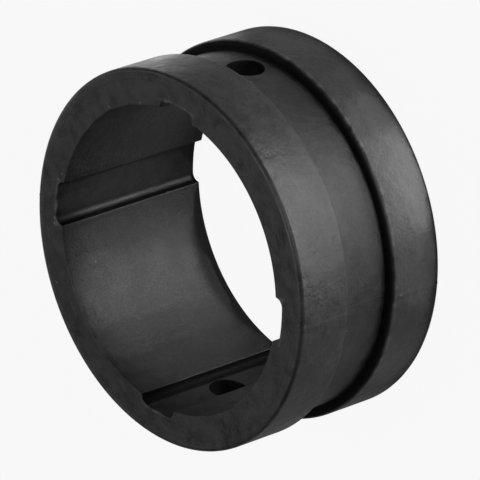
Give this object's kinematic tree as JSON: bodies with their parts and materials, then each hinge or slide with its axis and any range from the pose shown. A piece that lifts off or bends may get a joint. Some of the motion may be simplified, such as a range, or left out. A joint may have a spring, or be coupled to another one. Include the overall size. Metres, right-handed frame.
{
  "type": "brake camshaft bushing",
  "caption": "Round moulded plastic bush with a plain bore, open grease recesses along it, a shallow channel round the outside and two radial grease holes.",
  "frame": {"origin": "centre of the bore at the rear end face, on which the bush stands", "axes": "+Z along the bore axis towards the front end face, +X through one of the two radial grease holes"},
  "size_m": [0.052, 0.052, 0.0245],
  "materials": {
    "moulded_plastic": "matte black moulded nylon, lightly mottled"
  },
  "bodies": {
    "root": {"bushing": "moulded_plastic"}
  },
  "joints": []
}
